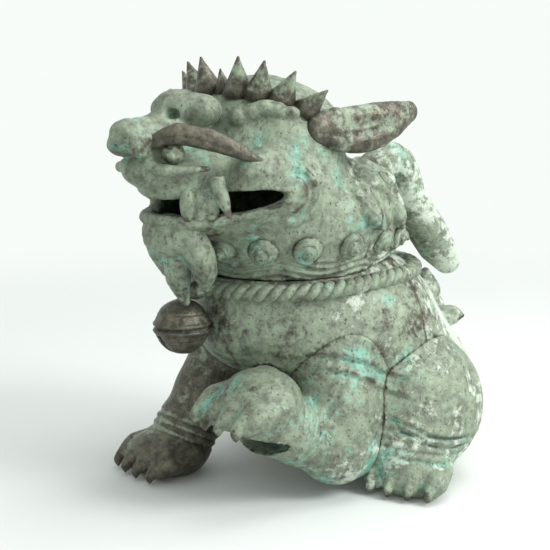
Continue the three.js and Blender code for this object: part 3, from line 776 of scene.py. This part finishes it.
# The raised paw is hollow, and its palm is open to the ground.
palm = np.minimum(
    ball((73, -68, 57), (25, 15, 8), (0, 0, 55))[2](body_x, body_y, body_z),
    ball((68, -58, 70), (17, 17, 19))[2](body_x, body_y, body_z),
)
LEG_FINISH = {
    "planted": ("foreleg_right", dark_bronze, "dark_bronze"),
    "raised": ("foreleg_left", green_bronze, "patina_green"),
    "hind_left": ("hind_leg_left", pale_bronze, "pale_patina"),
    "hind_right": ("hind_leg_right", pale_bronze, "pale_patina"),
}
for key, leg in legs.items():
    others = np.minimum.reduce([torso.field] + [other.field for name, other in legs.items() if name != key])
    part = np.maximum(skin, leg.field - others - SEAM_GAP)
    part = np.maximum(part, -torso_core)
    if key == "raised":
        part = np.maximum(part, -palm)
    node, material, slot = LEG_FINISH[key]
    leg_piece = body.mesh(node + "_cast", body_place, part)
    cut_loose(leg_piece)
    fit(leg_piece, material, slot, node)

# ---- Eyes ------------------------------------------------------------------------------------
# Two round eyeballs, cast with a drilled pupil, and soldered in their sockets.
for side, hand in ((1, "left"), (-1, "right")):
    eye = Clay((side * 25 - 15, -158, 270), (side * 25 + 15, -118, 300), 0.6)
    eye.add(ball((side * 25, -137, 285), (8.5, 8.5, 8)), 2)
    eye.dig(ball((side * 33, -142, 286), (2.8, 2.8, 3.6)), 1)
    fit(eye.mesh(f"eyeball_{hand}", head_place), green_bronze, "pale_patina", f"eye_{hand}")

# ---- Brow flames -----------------------------------------------------------------------------
# Each is a long blade with combed hairs on its upper edge. It lies along the brow over the eye,
# with its root brazed beside the nose, and its tip stands clear of the temple.
for side, hand in ((1, "left"), (-1, "right")):
    low = (min(side * 2, side * 88), -164, 258)
    high = (max(side * 2, side * 88), -60, 322)
    brow = Clay(low, high, 0.8)
    spine = [
        (side * 15, -147, 293), (side * 30, -137, 299), (side * 48, -119, 293),
        (side * 64, -101, 284), (side * 79, -83, 274),
    ]
    spine = np.array(spine, float)
    brow.add(rod(spine, [5, 8, 6.5, 4.5, 1.2]), 2)
    brow.add(rod(spine[1:4] + (0, 0, 5), [3, 5, 2]), 3)
    brow.add(rod(spine[:2] + (side * -1, -2, 1), [4, 5]), 4)
    for i in range(5):
        start = spine[1] + (side * (5 + i * 6), 5 + i * 6, 12 - i * 2.6)
        finish = start + (side * 14, 12, -6)
        outward = heading(side * 40, 25) * 3
        brow.draw([start + outward, (start + finish) / 2 + outward, finish + outward], 0.9, 1.0, 3)
    brow.draw(spine + heading(side * 42, -8) * 6.5, 1.2, 1.0, 4)
    fit(brow.mesh(f"brow_blade_{hand}", head_place), dark_bronze, "dark_bronze", f"brow_flame_{hand}")

# ---- Teeth -----------------------------------------------------------------------------------
# On each side a broad plate of front teeth and a long curved fang stand between the jaws. They
# tie the lower jaw to the upper, where the mouth is pierced. The right-hand ones stand further back.
for side, hand in ((1, "left"), (-1, "right")):
    tooth = Clay((min(side * 14, side * 66), -142, 228), (max(side * 14, side * 66), -90, 268), 0.8)
    set_back = 0 if side > 0 else 9
    for step in (-1, 0, 1):
        plate = (side * (35 + step * 6.5) + set_back, -120.5 + step * 6.5 + set_back, 247)
        tooth.add(ball(plate, (6, 5, 14), (0, 0, side * 45)), 2)
    fang_line = np.array([(side * 46, -113, 264), (side * 50, -111, 251), (side * 54, -108, 238)], float)
    tooth.add(rod(fang_line + (set_back, set_back, 0), [6.5, 5.5, 2]), 1)
    fit(tooth.mesh(f"teeth_{hand}", head_place), green_bronze, "patina_green", f"fang_{hand}")

# ---- Ears ------------------------------------------------------------------------------------
# A leaf-shaped ear, cast apart and brazed on through a rough collar of spelter at its root.
# It is sculpted round and then pressed to three fifths of its thickness.
for side, hand in ((1, "left"), (-1, "right")):
    root = head.meet(HEAD_CENTRE, heading(side * 92, 15))
    along = Vector((side * 0.24, 0.95, 0.1)).normalized()
    outward = along.cross(Vector((0, 0, 1))).normalized() * side
    upward = (outward.cross(along) * side).normalized()
    turn = Matrix((outward * side, along, upward)).transposed().to_4x4()
    ear = Clay((-28, -34, -30), (28, 92, 30), 0.9)
    ear.add(rod([(0, -4, 2), (0, 14, -1), (0, 36, -3), (0, 58, 0), (0, 80, 5)], [13, 16, 19, 19, 15, 9]), 3)
    ear.dig(ball((side * 24, 34, -1), (12, 32, 11)), 5)
    ear.draw([(side * 14, 6, -2), (side * 14, 38, -2), (side * 8, 68, 2)], 2, -1.5)
    ear.draw([(-side * 18, 4, 0), (-side * 20, 34, -2), (-side * 12, 66, 2)], 2, 1.0)
    for ring in range(9):
        angle = ring * 0.7
        bead = (12 * math.cos(angle), 4 + 7 * math.sin(angle * 1.7), 12 * math.sin(angle))
        ear.add(ball(bead, (5 + ring % 3, 5, 5)), 4)
    dents(ear, 90, (-22, -20, -24), (22, 80, 24), (2, 7), 0.7)
    press = Matrix.Diagonal((0.6, 1, 1, 1))
    piece = ear.mesh(f"ear_leaf_{hand}", head_place @ Matrix.Translation(root) @ turn @ press)
    fit(piece, ear_bronze, "dark_bronze", f"ear_{hand}")

# ---- Side locks ------------------------------------------------------------------------------
# A long lock of mane springs from a plate behind each ear, arches over and hangs clear of the
# back. It is a solid casting, brazed on at its root. Its rear face is pale, partly with bloom and partly
# with painted light from the back.
LOCK_BENDS = (
    (-1, -10, -10), (8, 3, 5), (14, 15, 9), (17, 25, -7),
    (18, 33, -28), (20, 48, -49), (22, 64, -68), (23, 79, -84),
)
for side, hand in ((1, "left"), (-1, "right")):
    root = head.meet(MANE_CENTRE, heading(side * 146, 26))
    line = np.array([root + (side * out, back, rise) for out, back, rise in LOCK_BENDS])
    lock = Clay(line.min(0) - 26, line.max(0) + 26, 1.0)
    lock.add(rod(line, [17, 16, 14, 14, 15.5, 17, 17, 12]), 3)
    lock.add(ball(line[0] + (side * 2, 4, -8), (15, 14, 20)), 6)
    for shift in (-5, 0, 5):
        lock.draw(line[5:] + (side * 12, -7 + shift, 0), 1.0, 0.9, 4)
        lock.draw(line[:4] + (side * 12, shift, 8), 1.3, 0.8, 4)
    dents(lock, 80, lock.low, lock.low + 120, (4, 9), 0.6)
    fit(lock.mesh(f"side_lock_{hand}", head_place), green_bronze, "pale_patina", f"mane_lock_{hand}")

# ---- Beard -----------------------------------------------------------------------------------
# The beard is one casting of three locks that hang from the chin down to the bell.
beard = Clay((-46, -156, 150), (46, -62, 246), 0.9)
beard.add(ball((0, -121, 220), (24, 20, 17)), 5)
beard.draw([(-22, -134, 218), (0, -142, 215), (22, -134, 218)], 2, 1.4)
BEARD_LOCKS = (
    ((0, -122, 222), (0, -114, 204), (0, -113, 186), (0, -106, 166)),
    ((-19, -118, 222), (-22, -110, 206), (-20, -103, 192), (-15, -98, 178)),
    ((19, -118, 222), (22, -110, 206), (20, -103, 192), (15, -98, 178)),
)
for lock_line in BEARD_LOCKS:
    beard.add(rod(lock_line, [12, 12, 10, 4]), 3)
    for shift in (-4.5, -1.5, 1.5, 4.5):
        beard.draw([np.array(p) + (shift, -10, -3) for p in lock_line], 0.9, 1.3, 4)
beard.dig(ball((0, -58, 205), (60, 30, 50)), 2)
fit(beard.mesh("beard_locks", head_place), green_bronze, "patina_green", "beard")

# ---- Mane curls ------------------------------------------------------------------------------
# Round snail curls sit in a row along the mane's lower edge, with two more behind each ear. Each
# is a wax roll coiled up like a shell and pressed on, so Geometry Nodes coil one roll for each.
def nodes_tree(name, inputs):
    """An empty Geometry Nodes tree with named inputs."""
    tree = bpy.data.node_groups.new(name, "GeometryNodeTree")
    tree.interface.new_socket("Geometry", in_out="INPUT", socket_type="NodeSocketGeometry")
    for label, kind, value in inputs:
        socket = tree.interface.new_socket(label, in_out="INPUT", socket_type=kind)
        socket.default_value = value
    tree.interface.new_socket("Geometry", in_out="OUTPUT", socket_type="NodeSocketGeometry")
    return tree


class Maker:
    """Builds a Geometry Nodes tree, one node for each call."""

    def __init__(self, name, inputs):
        self.tree = nodes_tree(name, inputs)
        self.given = self.tree.nodes.new("NodeGroupInput")

    def node(self, kind, settings=None, inputs=None, out=0):
        made = self.tree.nodes.new(kind)
        for key, setting in (settings or {}).items():
            setattr(made, key, setting)
        for key, value in (inputs or {}).items():
            if isinstance(value, bpy.types.NodeSocket):
                self.tree.links.new(value, made.inputs[key])
            else:
                made.inputs[key].default_value = value
        return made.outputs[out]

    def maths(self, operation, first, second=0.0):
        return self.node("ShaderNodeMath", {"operation": operation}, {0: first, 1: second})

    def finish(self, geometry, material):
        real = self.node("GeometryNodeRealizeInstances", None, {0: geometry})
        painted = self.node("GeometryNodeSetMaterial", None, {0: real, "Material": material})
        last = self.tree.nodes.new("NodeGroupOutput")
        self.tree.links.new(painted, last.inputs[0])
        return self.tree


def bake(name, start, tree, values):
    """Runs a tree on a starting mesh and keeps the result as a plain mesh."""
    source = bpy.data.objects.new(name + "_start", start)
    scene.collection.objects.link(source)
    modifier = source.modifiers.new("make", "NODES")
    modifier.node_group = tree
    for item in tree.interface.items_tree:
        if item.in_out == "INPUT" and item.name in values:
            modifier[item.identifier] = values[item.name]
    graph = bpy.context.evaluated_depsgraph_get()
    graph.update()
    mesh = bpy.data.meshes.new_from_object(source.evaluated_get(graph))
    mesh.name = name
    bpy.data.objects.remove(source)
    made = bpy.data.objects.new(name, mesh)
    scene.collection.objects.link(made)
    return made


def feel(piece):
    """Works out how hollow or proud each point of a plain mesh is, as the clay pieces know."""
    mesh = piece.data
    count = len(mesh.vertices)
    points = np.zeros(count * 3, np.float32)
    mesh.vertices.foreach_get("co", points)
    points = points.reshape(-1, 3)
    normals = np.zeros(count * 3, np.float32)
    mesh.vertices.foreach_get("normal", normals)
    normals = normals.reshape(-1, 3)
    ends = np.zeros(len(mesh.edges) * 2, np.int32)
    mesh.edges.foreach_get("vertices", ends)
    ends = ends.reshape(-1, 2)
    near = points.copy()
    for _ in range(3):
        total = np.zeros_like(near)
        number = np.zeros(count)
        for a, b in ((0, 1), (1, 0)):
            np.add.at(total, ends[:, a], near[ends[:, b]])
            np.add.at(number, ends[:, a], 1)
        near = 0.5 * near + 0.5 * total / np.maximum(number, 1)[:, None]
    values = ((points - near) * normals).sum(1) / 0.005 - 0.05
    for kind in RELIEF_NAMES:
        mesh.attributes.new(kind, "FLOAT", "POINT").data.foreach_set("value", values.astype(np.float32))
    mesh.shade_smooth()


def points_with_aims(name, places):
    """A mesh of loose points, each with the way it faces and its size."""
    mesh = bpy.data.meshes.new(name)
    mesh.from_pydata([tuple(point) for point, _, _ in places], [], [])
    aims = [part for _, aim, _ in places for part in aim]
    sizes = [size for _, _, size in places]
    mesh.attributes.new("aim", "FLOAT_VECTOR", "POINT").data.foreach_set("vector", aims)
    mesh.attributes.new("size", "FLOAT", "POINT").data.foreach_set("value", sizes)
    return mesh


def shell_curls(name, material):
    """A roll coiled up on each point, from its rim to a raised eye."""
    maker = Maker(name, (
        ("Turns", "NodeSocketFloat", 2.2),
        ("Height", "NodeSocketFloat", 0.8),
        ("Roll", "NodeSocketFloat", 0.26),
        ("Tip Roll", "NodeSocketFloat", 0.1),
        ("Heart", "NodeSocketFloat", 0.95),
    ))
    spiral = maker.node("GeometryNodeCurveSpiral", None, {
        "Resolution": 22, "Rotations": maker.given.outputs["Turns"], "Start Radius": 0.78,
        "End Radius": 0.02, "Height": maker.given.outputs["Height"],
    })
    along = maker.node("GeometryNodeSplineParameter")
    taper = maker.node("ShaderNodeMapRange", None, {
        0: along, 3: maker.given.outputs["Roll"], 4: maker.given.outputs["Tip Roll"],
    })
    ring = maker.node("GeometryNodeCurvePrimitiveCircle", None, {"Resolution": 12, "Radius": 1.0})
    roll = maker.node("GeometryNodeCurveToMesh", None, {
        "Curve": spiral, "Profile Curve": ring, "Scale": taper, "Fill Caps": True,
    })
    heart = maker.node("GeometryNodeMeshCone", None, {
        "Vertices": 24, "Side Segments": 4, "Radius Top": 0.04,
        "Radius Bottom": maker.given.outputs["Heart"],
        "Depth": maker.given.outputs["Height"],
    })
    both = maker.node("GeometryNodeJoinGeometry")
    maker.tree.links.new(roll, both.node.inputs[0])
    maker.tree.links.new(heart, both.node.inputs[0])
    aim = maker.node("GeometryNodeInputNamedAttribute", {"data_type": "FLOAT_VECTOR"}, {"Name": "aim"})
    size = maker.node("GeometryNodeInputNamedAttribute", {"data_type": "FLOAT"}, {"Name": "size"})
    turned = maker.node("FunctionNodeAlignRotationToVector", {"axis": "Z"}, {"Vector": aim})
    placed = maker.node("GeometryNodeInstanceOnPoints", None, {
        "Points": maker.given.outputs[0], "Instance": both, "Rotation": turned, "Scale": size,
    })
    return maker.finish(placed, material)


def on_head(point, aim):
    """A point on the clay head and the way it faces, in the statue's place."""
    return head_place @ Vector(point), (head_place.to_3x3() @ Vector(aim)).normalized()


CURL_ROW = (
    (11, -12, 12), (33, -12, 12), (55, -11, 12), (79, -10, 11), (104, -10, 11), (129, -10, 12),
    (156, -10, 12), (112, 20, 12), (143, 22, 12),
)
CURL_STAND, CURL_GROWTH = 1.5, 1.1
curl_places = []
for round_, rise, size in CURL_ROW:
    for side in SIDES:
        place = head.meet(MANE_CENTRE, heading(side * round_, rise))
        face = head.slope(place)
        point, aim = on_head(place + face * CURL_STAND, face)
        curl_places.append((point, aim, size * CURL_GROWTH / 1000))
curl_tree = shell_curls("snail_curl", green_bronze)
curl_points = points_with_aims("curl_points", curl_places)
mane_curls = bake("mane_curls", curl_points, curl_tree, {"Height": 0.75, "Turns": 2.1})
feel(mane_curls)
HANDS = ("left", "right")
curl_names = [f"mane_curl_{hand}_{i + 1}" for hand in HANDS for i in range(len(CURL_ROW))]
stand_for(mane_curls, "patina_green", *curl_names)

# ---- Crown curls -----------------------------------------------------------------------------
# A row of pointed curls stands across the brow like a crown, small in the middle. They are the
# same coiled rolls, drawn up to a point, and worn dark by handling.
CROWN_FRONT = (0, 55, 14, 8)
CROWN_ROW = ((25, 51, 14, 13), (48, 46, 24, 13), (67, 39, 36, 12), (83, 29, 50, 11))
CROWN_SPLAY, CROWN_SINK = 20, 2
crown_places = []


def stand_curl(side, round_, rise, lean, size):
    place = head.meet(HEAD_CENTRE, heading(side * round_, rise))
    splay = CROWN_SPLAY if round_ else 0
    face = heading(side * (round_ + splay), 90 - lean)
    point, aim = on_head(place - face * CROWN_SINK, face)
    crown_places.append((point, aim, size / 1000))


stand_curl(1, *CROWN_FRONT)
for crown_curl in CROWN_ROW:
    for side in SIDES:
        stand_curl(side, *crown_curl)
crown_tree = shell_curls("pointed_curl", dark_bronze)
crown_points = points_with_aims("crown_points", crown_places)
POINTED = {"Height": 2.3, "Turns": 3.0, "Roll": 0.2, "Tip Roll": 0.06, "Heart": 1.02}
crown = bake("crown_curls", crown_points, crown_tree, POINTED)
feel(crown)
crown_names = [f"crown_curl_{hand}_{i + 1}" for hand in HANDS for i in range(len(CROWN_ROW))]
stand_for(crown, "dark_bronze", "crown_curl_front", *crown_names)

# ---- Rope collar -----------------------------------------------------------------------------
# A rope of two twisted strands lies round the neck, laid on in wax and cast with the chest.
ROPE_LEVEL, ROPE_DIP, ROPE_STAND = 175, 3.6, 3.2
rope_line = []
for turn in range(0, 360, 10):
    aim = heading(turn, 0)
    level = ROPE_LEVEL + ROPE_DIP * aim[1]
    rope_line.append(body.meet((0, 0, level), aim, 175) + aim * ROPE_STAND)
rope_path = bpy.data.meshes.new("rope_path")
count = len(rope_line)
rope_points = [tuple(body_place @ Vector(p)) for p in rope_line]
rope_path.from_pydata(rope_points, [(i, (i + 1) % count) for i in range(count)], [])
maker = Maker("twisted_rope", (
    ("Strand Radius", "NodeSocketFloat", 0.0042),
    ("Strand Offset", "NodeSocketFloat", 0.0032),
    ("Twists", "NodeSocketInt", 30),
))
given = maker.given.outputs
rope_curve = maker.node("GeometryNodeMeshToCurve", None, {"Mesh": given[0]})
rope_curve = maker.node("GeometryNodeCurveSplineType", {"spline_type": "CATMULL_ROM"}, {"Curve": rope_curve})
rope_curve = maker.node("GeometryNodeResampleCurve", None, {"Curve": rope_curve, "Count": 720})
tangent = maker.node("GeometryNodeInputTangent")
across = maker.node("ShaderNodeVectorMath", {"operation": "CROSS_PRODUCT"}, {0: tangent, 1: (0, 0, 1)})
along = maker.node("GeometryNodeSplineParameter")
both_strands = maker.node("GeometryNodeJoinGeometry")
for strand in range(2):
    twist = maker.maths("MULTIPLY", along, maker.maths("MULTIPLY", given["Twists"], 2 * math.pi))
    angle = maker.maths("ADD", twist, strand * math.pi)
    sideways = maker.maths("MULTIPLY", maker.maths("COSINE", angle), given["Strand Offset"])
    upward = maker.maths("MULTIPLY", maker.maths("SINE", angle), given["Strand Offset"])
    out_step = maker.node("ShaderNodeVectorMath", {"operation": "SCALE"}, {0: across, "Scale": sideways})
    up_step = maker.node("ShaderNodeCombineXYZ", None, {2: upward})
    step = maker.node("ShaderNodeVectorMath", {"operation": "ADD"}, {0: out_step, 1: up_step})
    moved = maker.node("GeometryNodeSetPosition", None, {0: rope_curve, "Offset": step})
    ring = maker.node("GeometryNodeCurvePrimitiveCircle", None, {
        "Resolution": 12, "Radius": given["Strand Radius"],
    })
    strand_mesh = maker.node("GeometryNodeCurveToMesh", None, {"Curve": moved, "Profile Curve": ring})
    maker.tree.links.new(strand_mesh, both_strands.node.inputs[0])
rope_tree = maker.finish(both_strands, green_bronze)
rope = bake("rope_collar", rope_path, rope_tree, {"Twists": 30})
feel(rope)
stand_for(rope, "patina_green", "collar_rope")

# ---- Bell and its knot -----------------------------------------------------------------------
# The round bell hangs at the breast. It is two cups with a doubled flange at the seam and a slot
# for the sound below, brazed to the chest, with the ribbon's knot above it.
BELL_RADIUS = 22
bell_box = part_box("bell")
bell_height = (bell_box[0][2] + bell_box[1][2]) * 500  # the middle of the box, in millimetres
bell_at = np.array((0, -BELL_REACH + BELL_RADIUS * 1.1, bell_height))
bell = Clay(bell_at - 28, bell_at + 28, 0.7)
bell.add(ball(bell_at, (BELL_RADIUS * 1.02,) * 3), 1)
bell_x, bell_y, bell_z = np.meshgrid(*bell.axes, indexing="ij", sparse=True)
out = np.sqrt((bell_x - bell_at[0]) ** 2 + (bell_y - bell_at[1]) ** 2)
level = bell_z - bell_at[2]
for flange in (2.6, -2.6):
    flange_ring = np.sqrt((out - BELL_RADIUS * 0.99) ** 2 + (level - flange) ** 2) - 1.9
    bell.field = merged(bell.field, flange_ring, 2)
bell.field += 1.6 * np.exp(-(level / 1.0) ** 2)
for band in (9, 12, -10):
    bell.field += 0.5 * np.exp(-((level - band) / 0.7) ** 2)
slot = np.maximum(np.abs(bell_x - bell_at[0]) - 2.2, np.maximum(level + 6, BELL_RADIUS * 0.6 - out * 1.4))
bell.field = np.maximum(bell.field, -slot)
bell.dig(ball(bell_at + (0, 0, -21), (2.4, 14, 9)), 1)
dents(bell, 60, bell_at - 22, bell_at + 22, (3, 8), 0.6)
fit(bell.mesh("round_bell", body_place), dark_bronze, "dark_bronze", "bell")

knot = Clay(bell_at + (-22, -18, 16), bell_at + (22, 26, 46), 0.8)
knot.add(ball(bell_at + (0, 8, 28), (9, 8, 7)), 2)
for side in SIDES:
    loop = [bell_at + (side * x, y, z) for x, y, z in ((2, 8, 28), (10, 6, 33), (15, 8, 29), (9, 8, 25))]
    knot.add(rod(loop, [3, 4.5, 4.5, 3]), 2)
knot.draw([bell_at + (-3, 0, 34), bell_at + (0, -1, 28), bell_at + (2, 0, 22)], 1.2, 1.2)
fit(knot.mesh("ribbon_knot", body_place), green_bronze, "dark_bronze", "bell_knot")

# ---- Tail ------------------------------------------------------------------------------------
# The tail lies up the back and ends in flame-shaped tufts. Only its tips stand clear.
tail_root = body.meet((0, 66, 124), heading(180, 0), 120)
tail = Clay(tail_root + (-48, -30, -46), tail_root + (48, 34, 52), 1.0)
TUFTS = (
    ((0, -8, -22), (0, -1, 0), (0, 2, 20), (0, 0, 38), [12, 14, 13, 4]),
    ((8, -6, -14), (18, 1, -4), (27, 9, 0), (35, 15, 0), [10, 12, 9, 2]),
    ((-8, -6, -14), (-18, 1, -4), (-27, 9, 0), (-35, 15, 0), [10, 12, 9, 2]),
    ((7, -4, -20), (17, 1, -18), (25, 5, -20), (31, 6, -24), [9, 10, 8, 2]),
    ((-7, -4, -20), (-17, 1, -18), (-25, 5, -20), (-31, 6, -24), [9, 10, 8, 2]),
    ((0, 0, -12), (0, 8, -6), (0, 13, 4), (0, 15, 16), [8, 11, 9, 2]),
)
for a, b, c, d, widths in TUFTS:
    line = [tail_root + p for p in (a, b, c, d)]
    tail.add(rod(line, widths), 3)
    for shift in (-4, 0, 4):
        hair = [p + (shift + np.sign(p[0] - tail_root[0]) * 8, 10, -2) for p in line]
        tail.draw(hair, 1.2, 1.1, 4)
dents(tail, 60, tail.low, tail.low + 80, (4, 9), 0.6)
fit(tail.mesh("tail_flames", body_place), pale_bronze, "pale_patina", "tail")
